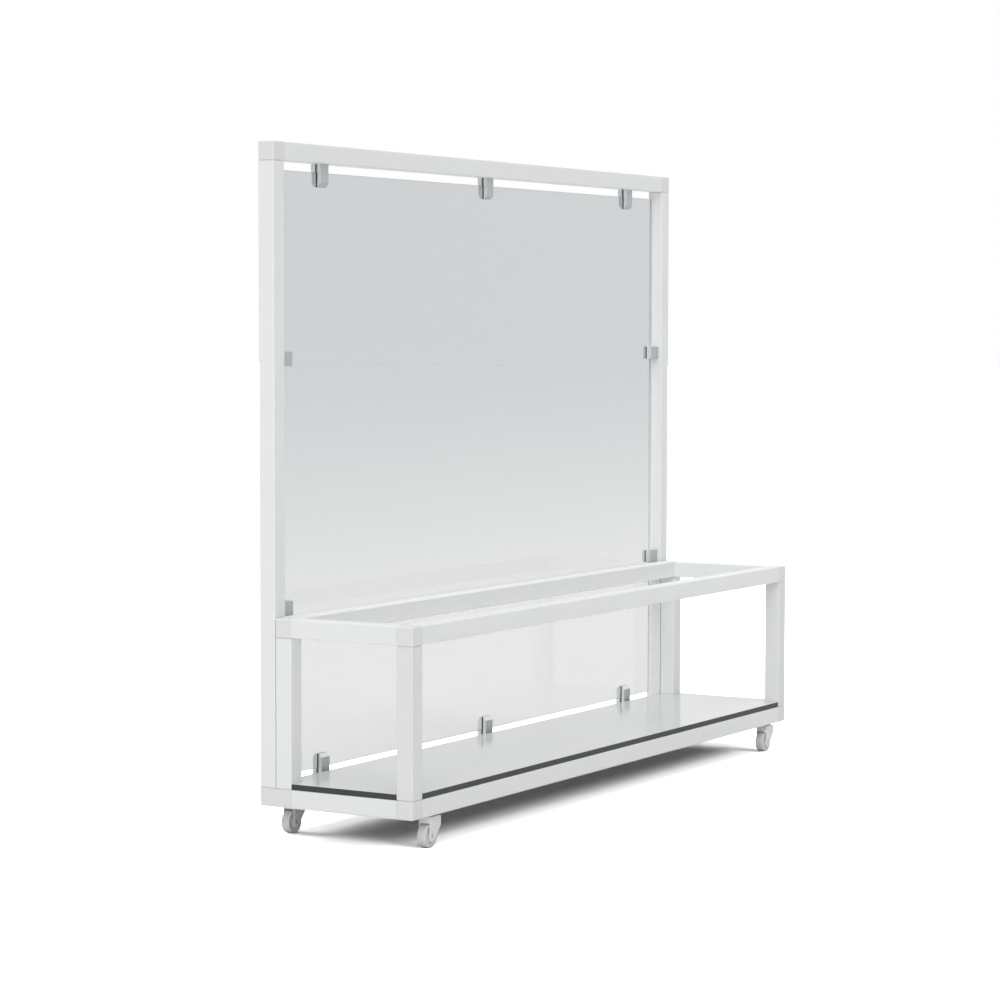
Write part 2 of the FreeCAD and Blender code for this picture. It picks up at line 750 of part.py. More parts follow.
def drill_castor_holes(parts):
    """The holes that the castors' inserts need in the base rails."""
    for name, place in castor_places().items():
        carrier = "base_rail_" + name.split("_")[0]
        start = place - Vector(0, 0, overrun)
        hole = cylinder(insert_radius + screw_clearance, start, profile_wall + 2 * overrun, Z_AXIS)
        parts[carrier] = parts[carrier].cut(hole)


def build_all():
    """Every node of the partition, by name."""
    parts = build_frames()
    drill_clamp_holes(parts)
    drill_castor_holes(parts)
    parts.update(build_shelf())
    parts["pane"] = pane()
    parts.update(build_clamps())
    parts.update(build_castors())
    return parts


os.makedirs("parts", exist_ok=True)
for node, solid in build_all().items():
    solid.exportStep("parts/" + node + ".step")
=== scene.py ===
"""Looks for a room partition on castors, with a pane in clamps and a low planter frame.

Laid out as an add-on and run as a script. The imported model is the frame: its nodes keep their shapes and
get their finishes here, and the wheels and tyres of the castors get finer surfaces of their own.
"""

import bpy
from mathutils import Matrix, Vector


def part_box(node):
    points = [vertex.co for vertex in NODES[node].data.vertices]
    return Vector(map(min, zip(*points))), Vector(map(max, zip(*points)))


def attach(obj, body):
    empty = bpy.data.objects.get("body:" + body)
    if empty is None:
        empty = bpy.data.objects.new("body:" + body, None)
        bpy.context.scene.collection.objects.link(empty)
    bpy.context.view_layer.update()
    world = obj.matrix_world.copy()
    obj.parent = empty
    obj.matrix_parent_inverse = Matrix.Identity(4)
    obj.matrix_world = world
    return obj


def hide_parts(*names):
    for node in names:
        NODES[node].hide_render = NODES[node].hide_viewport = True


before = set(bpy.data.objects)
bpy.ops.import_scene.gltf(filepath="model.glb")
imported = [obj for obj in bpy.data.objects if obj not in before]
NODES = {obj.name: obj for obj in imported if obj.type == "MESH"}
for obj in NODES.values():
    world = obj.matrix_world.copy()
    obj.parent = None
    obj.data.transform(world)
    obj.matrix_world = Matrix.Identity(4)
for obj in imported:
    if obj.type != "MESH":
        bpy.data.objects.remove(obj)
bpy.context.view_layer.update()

import math

import bpy
import numpy as np
from bpy.props import FloatProperty, FloatVectorProperty, IntProperty, PointerProperty
from mathutils import Matrix, Vector

bl_info = {
    "name": "Room partition maker",
    "version": (1, 0, 0),
    "blender": (4, 5, 0),
    "location": "3D View > Sidebar > Partition",
    "description": "Finishes and fine pieces for a mobile room partition with a planter frame",
    "category": "Object",
}

CASTORS = ("front_left", "front_right", "rear_left", "rear_right")
MILLIMETRE = 0.001

# Tyre. Shares and places are parts of its half width, and drops go from the tread's edge towards the rim
RIM_RADIUS = 19.0 * MILLIMETRE
TREAD_CROWN = 0.45 * MILLIMETRE
TYRE_SHOULDER = 1.8 * MILLIMETRE
SHOULDER_START = 0.8
MOULD_LINE = 0.10 * MILLIMETRE
MOULD_LINE_SHARE = 0.03
GROOVE_DEPTH = 0.30 * MILLIMETRE
GROOVE_PLACE = 0.5
GROOVE_SHARE = 0.035
SIDE_SHARES = (1.0, 0.98, 0.95, 0.95)
SIDE_DROPS = (0.4 * MILLIMETRE, 0.9 * MILLIMETRE, 1.1 * MILLIMETRE)
TREAD_POINTS = 81
TYRE_TURNS = 160

# Wheel centre. Halves are distances from its middle plane, and edge and slope are values of a cosine
BORE_RADIUS = 3.05 * MILLIMETRE
HUB_RADIUS = 6.4 * MILLIMETRE
WEB_INNER_RADIUS = 7.4 * MILLIMETRE
WEB_OUTER_RADIUS = 14.4 * MILLIMETRE
RIM_INNER_RADIUS = 15.2 * MILLIMETRE
WEB_HALF = 7.5 * MILLIMETRE
RIB_HALF = 8.6 * MILLIMETRE
RIM_HALF = 9.5 * MILLIMETRE
WHEEL_ROUNDING = 0.4 * MILLIMETRE
WHEEL_RIBS = 6
RIB_EDGE = 0.76
RIB_SLOPE = 0.14
RIB_INNER_RADIUS = 3.3 * MILLIMETRE
RIB_OUTER_RADIUS = 0.97 * RIM_RADIUS
WHEEL_POINTS = 120
WHEEL_TURNS = 240
CORNER_POINTS = 7


# Sizes and colours that a user would change

class PartitionFinishes(bpy.types.PropertyGroup):
    """Colours and surface values of the partition's finishes."""
    coat_color: FloatVectorProperty(
        name="Tube coat", description="Powder coat on rails and posts", subtype="COLOR",
        size=3, min=0.0, max=1.0, default=(0.792, 0.806, 0.808))
    # The corner blocks' darker coat is their own shade; on the planter's front posts it is painted shade.
    block_and_shaded_post_color: FloatVectorProperty(
        name="Block coat", description="Powder coat on the corner blocks and the front posts",
        subtype="COLOR", size=3, min=0.0, max=1.0, default=(0.724, 0.734, 0.732))
    coat_roughness: FloatProperty(
        name="Coat roughness", description="Roughness of the powder coat",
        subtype="FACTOR", min=0.0, max=1.0, default=0.42)
    shelf_color: FloatVectorProperty(
        name="Shelf face", description="Laminate on both sides of the shelf", subtype="COLOR",
        size=3, min=0.0, max=1.0, default=(0.605, 0.617, 0.620))
    core_color: FloatVectorProperty(
        name="Shelf core", description="Dark core that shows at the sawn edges", subtype="COLOR",
        size=3, min=0.0, max=1.0, default=(0.028, 0.032, 0.033))
    # The pane's grey tint is its own; its clearer lower end and darker upper end are painted light and shade.
    pane_low_tint_and_shade_color: FloatVectorProperty(
        name="Pane tint, low", description="Share of the light that the pane's lower end lets through",
        subtype="COLOR", size=3, min=0.0, max=1.0, default=(0.798, 0.807, 0.800))
    pane_high_tint_and_shade_color: FloatVectorProperty(
        name="Pane tint, high", description="Share of the light that the pane's upper end lets through",
        subtype="COLOR", size=3, min=0.0, max=1.0, default=(0.613, 0.628, 0.643))
    # These heights bound the painted shade that darkens the pane towards the top.
    pane_low: FloatProperty(
        name="Tint starts", description="Height at which the pane begins to darken",
        unit="LENGTH", default=0.30)
    pane_high: FloatProperty(
        name="Tint ends", description="Height above which the pane has its full tint",
        unit="LENGTH", default=1.08)
    clamp_color: FloatVectorProperty(
        name="Clamp metal", description="Plated castings of the clamps", subtype="COLOR",
        size=3, min=0.0, max=1.0, default=(0.480, 0.512, 0.517))
    # Painted highlight: the clamps' faces that look up or aside get this brighter colour, where light falls
    # more strongly.
    clamp_painted_highlight_color: FloatVectorProperty(
        name="Clamp metal, brighter", description="Faces of the clamps that look up or aside",
        subtype="COLOR", size=3, min=0.0, max=1.0, default=(0.800, 0.835, 0.840))
    steel_color: FloatVectorProperty(
        name="Fastener steel", description="Zinc plated screws, pins and axles", subtype="COLOR",
        size=3, min=0.0, max=1.0, default=(0.560, 0.570, 0.580))
    fork_color: FloatVectorProperty(
        name="Fork coat", description="Light coat on the castor forks", subtype="COLOR",
        size=3, min=0.0, max=1.0, default=(0.760, 0.770, 0.772))
    ring_color: FloatVectorProperty(
        name="Castor ring", description="Hard ring between a castor and the base", subtype="COLOR",
        size=3, min=0.0, max=1.0, default=(0.060, 0.065, 0.070))
    wheel_color: FloatVectorProperty(
        name="Wheel centre", description="Moulded wheel centres", subtype="COLOR",
        size=3, min=0.0, max=1.0, default=(0.770, 0.780, 0.782))
    tyre_color: FloatVectorProperty(
        name="Tyre", description="Grey rubber of the tyres", subtype="COLOR",
        size=3, min=0.0, max=1.0, default=(0.740, 0.748, 0.750))
    gasket_color: FloatVectorProperty(
        name="Clamp gasket", description="Rubber between the jaws and the pane", subtype="COLOR",
        size=3, min=0.0, max=1.0, default=(0.160, 0.165, 0.168))


class PartitionStage(bpy.types.PropertyGroup):
    """Camera, floor and light."""
    camera_place: FloatVectorProperty(
        name="Camera place", description="Where the camera stands", subtype="TRANSLATION", unit="LENGTH",
        size=3, default=(-6.0110, -3.4274, 1.1034))
    camera_yaw: FloatProperty(
        name="Camera yaw", description="Turn of the view from +X towards +Y", subtype="ANGLE",
        default=0.5347825)
    camera_pitch: FloatProperty(
        name="Camera pitch", description="How far the camera looks down", subtype="ANGLE", default=0.0604007)
    camera_roll: FloatProperty(
        name="Camera roll", description="Turn of the picture about the line of sight", subtype="ANGLE",
        default=0.0015873)
    focal_pixels: FloatProperty(
        name="Focal length in pixels", description="Focal length in units of one pixel of the picture",
        default=2938.2, min=100.0)
    picture_pixels: IntProperty(
        name="Picture size", description="Width and height of the picture in pixels", default=1000, min=100)
    wall_light: FloatProperty(
        name="Wall light", description="Light that comes from the height of the horizon",
        default=0.115, min=0.0)
    ceiling_light: FloatProperty(
        name="Ceiling light", description="What the light gains from the horizon to straight above",
        default=0.50, min=0.0)
    key_strength: FloatProperty(
        name="Key light", description="Strength of the large lamp above the front", default=1.60, min=0.0)
    key_travel: FloatVectorProperty(
        name="Key direction", description="Way in which the key light travels", subtype="XYZ",
        size=3, default=(0.150, 0.230, -0.962))
    key_spread: FloatProperty(
        name="Key light spread", description="Angle that the large lamp covers", subtype="ANGLE", default=0.9)
    side_strength: FloatProperty(
        name="Side light", description="Strength of the low lamp on the left", default=0.94, min=0.0)
    side_travel: FloatVectorProperty(
        name="Side direction", description="Way in which the side light travels", subtype="XYZ",
        size=3, default=(0.870, 0.330, -0.370))
    side_spread: FloatProperty(
        name="Side light spread", description="Angle that the low lamp covers", subtype="ANGLE", default=0.6)
    floor_color: FloatVectorProperty(
        name="Floor", description="Colour of the floor, as the light that it sends on to the part has it",
        subtype="COLOR", size=3, min=0.0, max=1.0, default=(0.2322, 0.2322, 0.2322))
    floor_seen_color: FloatVectorProperty(
        name="Floor as seen", description="Colour of the floor as the camera has it", subtype="COLOR",
        size=3, min=0.0, max=1.0, default=(0.750, 0.752, 0.755))
    floor_lamps: IntProperty(
        name="Floor lamps", description="Number of low lamps round the part that light the floor alone",
        default=4, min=1)
    floor_lamp_strength: FloatProperty(
        name="Floor lamp strength", description="Strength of each floor lamp", default=4.2, min=0.0)
    floor_lamp_rise: FloatProperty(
        name="Floor lamp rise", description="Height of the floor lamps over the horizon", subtype="ANGLE",
        default=0.650)
    floor_lamp_spread: FloatProperty(
        name="Floor lamp spread", description="Angle that each floor lamp covers", subtype="ANGLE",
        default=0.5)
    floor_reach: FloatProperty(
        name="Floor reach", description="Half the width of the floor", unit="LENGTH", default=60.0, min=5.0)


# Node helpers

def set_inputs(node, values):
    """Sets sockets by name."""
    for name, value in values.items():
        if node.inputs[name].type == "RGBA" and len(value) == 3:
            value = (*value, 1.0)
        node.inputs[name].default_value = value


def new_node(tree, kind, values=None, **settings):
    """Adds a node with its settings and socket values."""
    node = tree.nodes.new(kind)
    for name, value in settings.items():
        setattr(node, name, value)
    if values:
        set_inputs(node, values)
    return node


def new_group(name, inputs, outputs):
    """An empty shader group with the named sockets, and its input and output nodes."""
    tree = bpy.data.node_groups.new(name, "ShaderNodeTree")
    for label, kind, default in inputs:
        socket = tree.interface.new_socket(label, in_out="INPUT", socket_type=kind)
        if kind == "NodeSocketColor":
            socket.default_value = (*default, 1.0)
        else:
            socket.default_value = default
    for label, kind in outputs:
        tree.interface.new_socket(label, in_out="OUTPUT", socket_type=kind)
    return tree, tree.nodes.new("NodeGroupInput"), tree.nodes.new("NodeGroupOutput")


def scaled_noise(tree, scale, detail, roughness=0.5, stretch=(1.0, 1.0, 1.0)):
    """Noise on Object coordinates, in cells per metre. A stretch below 1 draws it out along that axis."""
    place = tree.nodes.new("ShaderNodeTexCoord")
    mapping = new_node(tree, "ShaderNodeMapping", {"Scale": stretch})
    noise = new_node(tree, "ShaderNodeTexNoise", {"Detail": detail, "Roughness": roughness})
    if isinstance(scale, (int, float)):
        noise.inputs["Scale"].default_value = scale
    else:
        tree.links.new(scale, noise.inputs["Scale"])
    tree.links.new(place.outputs["Object"], mapping.inputs["Vector"])
    tree.links.new(mapping.outputs["Vector"], noise.inputs["Vector"])
    return noise.outputs["Fac"]


def mapped(tree, value, low, high, to_low, to_high):
    """value from low..high carried to to_low..to_high. The last two may be sockets."""
    node = new_node(tree, "ShaderNodeMapRange", {"From Min": low, "From Max": high})
    tree.links.new(value, node.inputs["Value"])
    for name, end in (("To Min", to_low), ("To Max", to_high)):
        if isinstance(end, (int, float)):
            node.inputs[name].default_value = end
        else:
            tree.links.new(end, node.inputs[name])
    return node.outputs["Result"]


def smooth_share(tree, value, low, high):
    """0 where value is under low, 1 where it is over high, and a smooth step between, all from sockets."""
    node = new_node(tree, "ShaderNodeMapRange", interpolation_type="SMOOTHSTEP")
    for name, source in (("Value", value), ("From Min", low), ("From Max", high)):
        tree.links.new(source, node.inputs[name])
    return node.outputs["Result"]


def axes(tree, name):
    """The X, Y and Z of one output of the coordinates node."""
    place = tree.nodes.new("ShaderNodeTexCoord")
    split = tree.nodes.new("ShaderNodeSeparateXYZ")
    tree.links.new(place.outputs[name], split.inputs["Vector"])
    return split.outputs


def maths(tree, operation, first, second=0.0):
    """One operation on one or two values, each a number or a socket."""
    node = new_node(tree, "ShaderNodeMath", operation=operation)
    for index, value in enumerate((first, second)):
        if isinstance(value, (int, float)):
            node.inputs[index].default_value = value
        else:
            tree.links.new(value, node.inputs[index])
    return node.outputs[0]


def blended(tree, factor, first, second):
    """first where the factor is 0 and second where it is 1."""
    node = new_node(tree, "ShaderNodeMix", data_type="RGBA")
    for name, source in (("Factor", factor), ("A", first), ("B", second)):
        tree.links.new(source, node.inputs[name])
    return node.outputs["Result"]


def tinted(tree, color, factor):
    """color times a factor that varies over the surface."""
    node = new_node(tree, "ShaderNodeMix", data_type="RGBA", blend_type="MULTIPLY")
    node.inputs["Factor"].default_value = 1.0
    tree.links.new(color, node.inputs["A"])
    tree.links.new(factor, node.inputs["B"])
    return node.outputs["Result"]


# Shader groups that the finishes share

def cloudy_color_group():
    """Colour x (1 - depth x mask) and roughness + spread x mask, where the mask is a soft noise."""
    tree, source, sink = new_group(
        "Soft patches",
        [("Color", "NodeSocketColor", (0.8, 0.8, 0.8)), ("Scale", "NodeSocketFloat", 3.0),
         ("Depth", "NodeSocketFloat", 0.03), ("Roughness", "NodeSocketFloat", 0.4),
         ("Roughness Spread", "NodeSocketFloat", 0.05)],
        [("Color", "NodeSocketColor"), ("Roughness", "NodeSocketFloat")])
    noise = scaled_noise(tree, source.outputs["Scale"], detail=4.0)
    mask = mapped(tree, noise, low=0.3, high=0.7, to_low=0.0, to_high=1.0)
    shade = maths(tree, "SUBTRACT", 1.0, maths(tree, "MULTIPLY", mask, source.outputs["Depth"]))
    tree.links.new(tinted(tree, source.outputs["Color"], shade), sink.inputs["Color"])
    spread = maths(tree, "MULTIPLY", mask, source.outputs["Roughness Spread"])
    tree.links.new(maths(tree, "ADD", source.outputs["Roughness"], spread), sink.inputs["Roughness"])
    return tree


def orange_peel_group():
    """Height of a sprayed coat: a fine ripple with one four times as broad under it."""
    tree, source, sink = new_group(
        "Sprayed skin",
        [("Ripple Scale", "NodeSocketFloat", 900.0), ("Broad Share", "NodeSocketFloat", 0.4)],
        [("Height", "NodeSocketFloat")])
    fine = scaled_noise(tree, source.outputs["Ripple Scale"], detail=2.0)
    broad_scale = maths(tree, "MULTIPLY", source.outputs["Ripple Scale"], 0.25)
    broad = scaled_noise(tree, broad_scale, detail=2.0)
    broad = maths(tree, "MULTIPLY", broad, source.outputs["Broad Share"])
    tree.links.new(maths(tree, "ADD", fine, broad), sink.inputs["Height"])
    return tree


def brushed_group():
    """Fine scratches along X: colour x (1 - depth x noise), roughness + depth x noise, and the noise."""
    tree, source, sink = new_group(
        "Fine scratches",
        [("Color", "NodeSocketColor", (0.6, 0.6, 0.6)), ("Scale", "NodeSocketFloat", 600.0),
         ("Depth", "NodeSocketFloat", 0.08), ("Roughness", "NodeSocketFloat", 0.35)],
        [("Color", "NodeSocketColor"), ("Roughness", "NodeSocketFloat"), ("Height", "NodeSocketFloat")])
    noise = scaled_noise(
        tree, source.outputs["Scale"], detail=3.0, roughness=0.6, stretch=(0.12, 1.0, 1.0))
    shade = maths(tree, "SUBTRACT", 1.0, maths(tree, "MULTIPLY", noise, source.outputs["Depth"]))
    tree.links.new(tinted(tree, source.outputs["Color"], shade), sink.inputs["Color"])
    rough = maths(tree, "MULTIPLY", noise, source.outputs["Depth"])
    tree.links.new(maths(tree, "ADD", source.outputs["Roughness"], rough), sink.inputs["Roughness"])
    tree.links.new(noise, sink.inputs["Height"])
    return tree


def speckle_group():
    """Small specks: the speck colour shows where a point lies near the middle of its cell."""
    tree, source, sink = new_group(
        "Specks",
        [("Color", "NodeSocketColor", (0.1, 0.1, 0.1)),
         ("Speck Color", "NodeSocketColor", (0.3, 0.3, 0.3)),
         ("Scale", "NodeSocketFloat", 700.0), ("Strength", "NodeSocketFloat", 0.4)],
        [("Color", "NodeSocketColor")])
    place = tree.nodes.new("ShaderNodeTexCoord")
    cells = new_node(tree, "ShaderNodeTexVoronoi", feature="F1")
    tree.links.new(place.outputs["Object"], cells.inputs["Vector"])
    tree.links.new(source.outputs["Scale"], cells.inputs["Scale"])
    mask = mapped(tree, cells.outputs["Distance"], low=0.12, high=0.30, to_low=1.0, to_high=0.0)
    factor = maths(tree, "MULTIPLY", mask, source.outputs["Strength"])
    color = blended(tree, factor, source.outputs["Color"], source.outputs["Speck Color"])
    tree.links.new(color, sink.inputs["Color"])
    return tree


def height_tint_and_painted_shade_group():
    """Colour that changes with height: low below one height, high above the other, smooth between."""
    tree, source, sink = new_group(
        "Height tint and painted shade",
        [("Low Color", "NodeSocketColor", (0.8, 0.8, 0.8)),
         ("High Color", "NodeSocketColor", (0.6, 0.6, 0.6)),
         ("Low Height", "NodeSocketFloat", 0.0), ("High Height", "NodeSocketFloat", 1.0)],
        [("Color", "NodeSocketColor")])
    height = axes(tree, "Object")["Z"]
    share = smooth_share(tree, height, source.outputs["Low Height"], source.outputs["High Height"])
    color = blended(tree, share, source.outputs["Low Color"], source.outputs["High Color"])
    tree.links.new(color, sink.inputs["Color"])
    return tree


def painted_highlight_group():
    """Painted highlight: colour that brightens with the way a face turns, by the larger of two shares.

    One is the smooth step of the normal's z from Low to High, and the other is Side Share x |normal's x|.
    """
    tree, source, sink = new_group(
        "Facing",
        [("Color", "NodeSocketColor", (0.5, 0.5, 0.5)),
         ("Bright Color", "NodeSocketColor", (0.8, 0.8, 0.8)),
         ("Low", "NodeSocketFloat", 0.3), ("High", "NodeSocketFloat", 0.6),
         ("Side Share", "NodeSocketFloat", 0.0)],
        [("Color", "NodeSocketColor")])
    normal = axes(tree, "Normal")
    up = smooth_share(tree, normal["Z"], source.outputs["Low"], source.outputs["High"])
    aside = maths(tree, "MULTIPLY", maths(tree, "ABSOLUTE", normal["X"]), source.outputs["Side Share"])
    share = maths(tree, "MAXIMUM", up, aside)
    color = blended(tree, share, source.outputs["Color"], source.outputs["Bright Color"])
    tree.links.new(color, sink.inputs["Color"])
    return tree


GROUP_MAKERS = {
    "Facing": painted_highlight_group,
    "Height tint and painted shade": height_tint_and_painted_shade_group,
    "Soft patches": cloudy_color_group,
    "Sprayed skin": orange_peel_group,
    "Fine scratches": brushed_group,
    "Specks": speckle_group,
}


def group_node(tree, name, values):
    """Places a shared group in a material, and builds it the first time."""
    if name not in bpy.data.node_groups:
        GROUP_MAKERS[name]()
    node = tree.nodes.new("ShaderNodeGroup")
    node.node_tree = bpy.data.node_groups[name]
    set_inputs(node, values)
    return node


def new_material(name, values):
    """A material with a Principled BSDF whose plain values are set on its own sockets."""
    material = bpy.data.materials.new(name)
    material.use_nodes = True
    shader = material.node_tree.nodes["Principled BSDF"]
    set_inputs(shader, values)
    return material, material.node_tree, shader


def bump_into(tree, shader, height, distance, strength):
    """Makes relief from a height, where distance is how many metres a height of 1 stands for."""
    bump = new_node(tree, "ShaderNodeBump", {"Distance": distance, "Strength": strength})
    tree.links.new(height, bump.inputs["Height"])
    tree.links.new(bump.outputs["Normal"], shader.inputs["Normal"])


# Finishes

def skinned_material(name, plain, patches, skin, ripple_depth, strength):
    """A finish with soft patches in its colour and roughness, and a sprayed skin as relief."""
    material, tree, shader = new_material(name, plain)
    cloud = group_node(tree, "Soft patches", patches)
    relief = group_node(tree, "Sprayed skin", skin)
    tree.links.new(cloud.outputs["Color"], shader.inputs["Base Color"])
    tree.links.new(cloud.outputs["Roughness"], shader.inputs["Roughness"])
    bump_into(tree, shader, relief.outputs["Height"], ripple_depth, strength)
    return material


def coat_material(name, color, roughness, ripple_scale, ripple_depth):
    """Powder coat: an even colour with very soft patches and a sprayed skin."""
    return skinned_material(
        name, {"Metallic": 0.0, "IOR": 1.5},
        {"Color": color, "Scale": 5.0, "Depth": 0.02, "Roughness": roughness, "Roughness Spread": 0.06},
        {"Ripple Scale": ripple_scale, "Broad Share": 0.5}, ripple_depth, 0.35)


def rubber_material(name, color, roughness):
    """Rubber: matt, with a grain and slightly darker patches."""
    return skinned_material(
        name, {"Metallic": 0.0, "IOR": 1.45},
        {"Color": color, "Scale": 60.0, "Depth": 0.12, "Roughness": roughness, "Roughness Spread": 0.12},
        {"Ripple Scale": 1800.0, "Broad Share": 0.8}, 0.2 * MILLIMETRE, 0.5)


def laminate_material(name, color):
    """Pale laminate: a semi-gloss face with a faint pearl texture."""
    return skinned_material(
        name, {"Metallic": 0.0, "IOR": 1.33},
        {"Color": color, "Scale": 9.0, "Depth": 0.02, "Roughness": 0.10, "Roughness Spread": 0.03},
        {"Ripple Scale": 700.0, "Broad Share": 0.3}, 0.06 * MILLIMETRE, 0.3)


def metal_material(name, color, metallic, roughness, scratch_scale, scratch_depth):
    """Plated metal with fine scratches in its colour, its roughness and its relief."""
    material, tree, shader = new_material(name, {"Metallic": metallic})
    scratches = group_node(tree, "Fine scratches", {
        "Color": color, "Scale": scratch_scale, "Depth": 0.10, "Roughness": roughness})
    tree.links.new(scratches.outputs["Color"], shader.inputs["Base Color"])
    tree.links.new(scratches.outputs["Roughness"], shader.inputs["Roughness"])
    bump_into(tree, shader, scratches.outputs["Height"], scratch_depth, 0.4)
    return material


def steel_material(name, color):
    """Bright zinc plated steel."""
    return metal_material(name, color, metallic=1.0, roughness=0.3, scratch_scale=900.0,
                          scratch_depth=0.06 * MILLIMETRE)


def casting_material(name, color, bright_color):
    """Plated casting: satin, with a painted highlight that makes the faces that look up or aside brighter."""
    material = metal_material(name, color, metallic=0.35, roughness=0.40, scratch_scale=500.0,
                              scratch_depth=0.1 * MILLIMETRE)
    tree = material.node_tree
    shader = tree.nodes["Principled BSDF"]
    satin = shader.inputs["Base Color"].links[0].from_socket
    # Painted highlight on the faces that look up or aside
    painted_highlight = group_node(tree, "Facing", {"Bright Color": bright_color, "Side Share": 0.6})
    tree.links.new(satin, painted_highlight.inputs["Color"])
    tree.links.new(painted_highlight.outputs["Color"], shader.inputs["Base Color"])
    return material


def core_material(name, color):
    """Sawn edge of a compact board: dark, with pale fibre specks and fine saw lines."""
    material, tree, shader = new_material(name, {"Metallic": 0.0, "IOR": 1.5, "Roughness": 0.55})
    specks = group_node(tree, "Specks", {
        "Color": color, "Speck Color": (0.16, 0.16, 0.155), "Scale": 900.0, "Strength": 0.35})
    lines = group_node(tree, "Fine scratches", {"Scale": 900.0, "Depth": 0.1, "Roughness": 0.5})
    tree.links.new(specks.outputs["Color"], shader.inputs["Base Color"])
    bump_into(tree, shader, lines.outputs["Height"], 0.2 * MILLIMETRE, 0.5)
    return material


def pane_material(name, finish):
    """Grey tinted glass, with painted shade that makes it darker from its lower end towards its upper end."""
    material, tree, shader = new_material(name, {
        "Metallic": 0.0, "IOR": 1.25, "Transmission Weight": 1.0, "Roughness": 0.0})
    # Painted shade: the tint darkens from the low colour to the high colour with height.
    tint = group_node(tree, "Height tint and painted shade", {
        "Low Color": finish.pane_low_tint_and_shade_color, "High Color": finish.pane_high_tint_and_shade_color,
        "Low Height": finish.pane_low, "High Height": finish.pane_high})
    tree.links.new(tint.outputs["Color"], shader.inputs["Base Color"])
    return material


def dress(node, material):
    """Puts one material on a CAD node."""
    slots = NODES[node].data.materials
    slots.clear()
    slots.append(material)


# Surfaces

def ring_about_y(name, y, radius, turns, centre):
    """Closed ring about the Y axis through centre.

    y and radius are grids over the turn and the outline, or one outline for every turn. The point at the
    angle a = 2 pi row / turns is (cx + radius cos a, cy + y, cz + radius sin a).
    """
    angle = np.linspace(0.0, 2.0 * np.pi, turns, endpoint=False)[:, None]
    points = np.stack([
        centre[0] + radius * np.cos(angle), centre[1] + y + 0.0 * angle,
        centre[2] + radius * np.sin(angle)], axis=-1)
    return grid_mesh(name, points, wrap_rows=True, wrap_columns=True)


def closed_outline(corners, radius, count):
    """Closed outline through straight runs with rounded corners, at count even steps of its length.

    Near each corner the two runs are shortened by the radius, and a quadratic curve through the corner
    joins them: (1 - t)^2 start + 2 t (1 - t) corner + t^2 end.
    """
    corners = np.asarray(corners, dtype=float)
    back = np.roll(corners, 1, axis=0) - corners
    ahead = np.roll(corners, -1, axis=0) - corners
    start = corners + back / np.linalg.norm(back, axis=1, keepdims=True) * radius
    end = corners + ahead / np.linalg.norm(ahead, axis=1, keepdims=True) * radius
    t = np.linspace(0.0, 1.0, CORNER_POINTS)[None, :, None]
    curve = (1.0 - t) ** 2 * start[:, None] + 2.0 * t * (1.0 - t) * corners[:, None] + t ** 2 * end[:, None]
    points = np.concatenate([curve.reshape(-1, 2), curve[0, :1]])
    length = np.concatenate([[0.0], np.cumsum(np.linalg.norm(np.diff(points, axis=0), axis=1))])
    even = np.linspace(0.0, length[-1], count, endpoint=False)
    return np.interp(even, length, points[:, 0]), np.interp(even, length, points[:, 1])


def tyre_piece(castor):
    """Tyre with a crowned tread, a mould line, two fine grooves and soft shoulders.

    With t from -1 to 1 across the tread, the radius is R - crown t^2, less the shoulder's quarter ellipse
    beyond |t| = start, less line (1 - exp(-(t / line share)^2)) so that a fine line stands up at the middle,
    less depth exp(-((|t| - place) / groove share)^2) for two grooves. The sides step in a little to the rim.
    """
    low, high = (np.array(corner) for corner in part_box("castor_tyre_" + castor))
    half = (high[1] - low[1]) / 2
    t = np.linspace(-1.0, 1.0, TREAD_POINTS)
    shoulder = np.clip((np.abs(t) - SHOULDER_START) / (1.0 - SHOULDER_START), 0.0, 1.0)
    tread = TREAD_CROWN * t ** 2 + TYRE_SHOULDER * (1.0 - np.sqrt(1.0 - shoulder ** 2))
    tread += MOULD_LINE * (1.0 - np.exp(-(t / MOULD_LINE_SHARE) ** 2))
    tread += GROOVE_DEPTH * np.exp(-((np.abs(t) - GROOVE_PLACE) / GROOVE_SHARE) ** 2)
    outer = (high[2] - low[2]) / 2 - tread
    side_y = half * np.array(SIDE_SHARES)
    side_r = np.append(outer[-1] - np.array(SIDE_DROPS), RIM_RADIUS)
    y = np.concatenate([half * t, side_y, -side_y[::-1]])
    radius = np.concatenate([outer, side_r, side_r[::-1]])
    return ring_about_y("tyre_" + castor, y[None, :], radius[None, :], TYRE_TURNS, (low + high) / 2)


